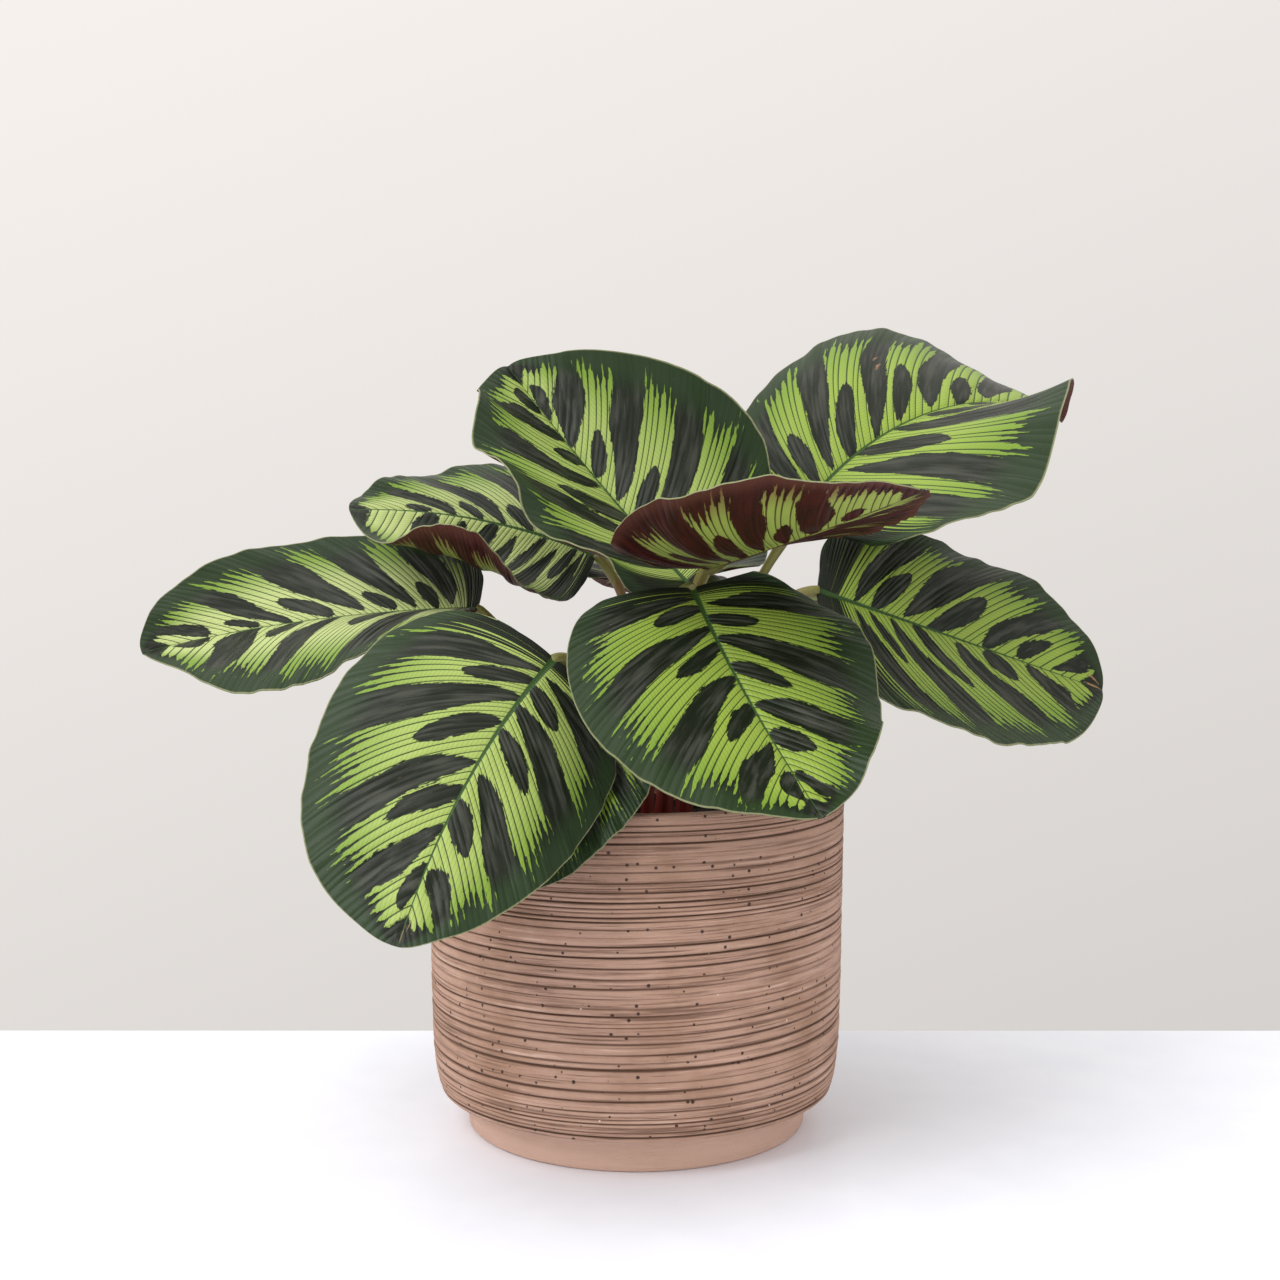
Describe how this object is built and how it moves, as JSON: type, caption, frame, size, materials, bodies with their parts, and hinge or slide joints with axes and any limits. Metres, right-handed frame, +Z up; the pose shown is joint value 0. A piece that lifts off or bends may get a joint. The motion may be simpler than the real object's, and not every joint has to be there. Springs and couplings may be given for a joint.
{
  "type": "potted peacock plant",
  "caption": "House plant with broad oval leaves, each on its own slim stalk, standing in soil in a ribbed round clay pot with a stepped foot",
  "frame": {"origin": "the middle of the pot's foot, on the surface that it stands on", "axes": "+Z is up, along the pot's axis; -Y is the front, where the two largest leaves hang over the rim; +X is to the right"},
  "size_m": [0.3561, 0.2795, 0.2985],
  "materials": {
    "clay": "matte",
    "soil": "matte",
    "leaf": "satin",
    "stalk": "satin"
  },
  "bodies": {
    "root": {"pot": "clay", "soil": "soil", "leaf_far_left": "leaf", "leaf_front_left": "leaf", "leaf_front": "leaf", "leaf_top": "leaf", "leaf_back_left": "leaf", "leaf_top_right": "leaf", "leaf_folded": "leaf", "leaf_right": "leaf", "leaf_low_front": "leaf", "leaf_back": "leaf", "leaf_back_right": "leaf", "leaf_low_back": "leaf", "stalk_far_left": "stalk", "stalk_front_left": "stalk", "stalk_front": "stalk", "stalk_top": "stalk", "stalk_back_left": "stalk", "stalk_top_right": "stalk", "stalk_folded": "stalk", "stalk_right": "stalk", "stalk_low_front": "stalk", "stalk_back": "stalk", "stalk_back_right": "stalk", "stalk_low_back": "stalk"}
  },
  "joints": []
}
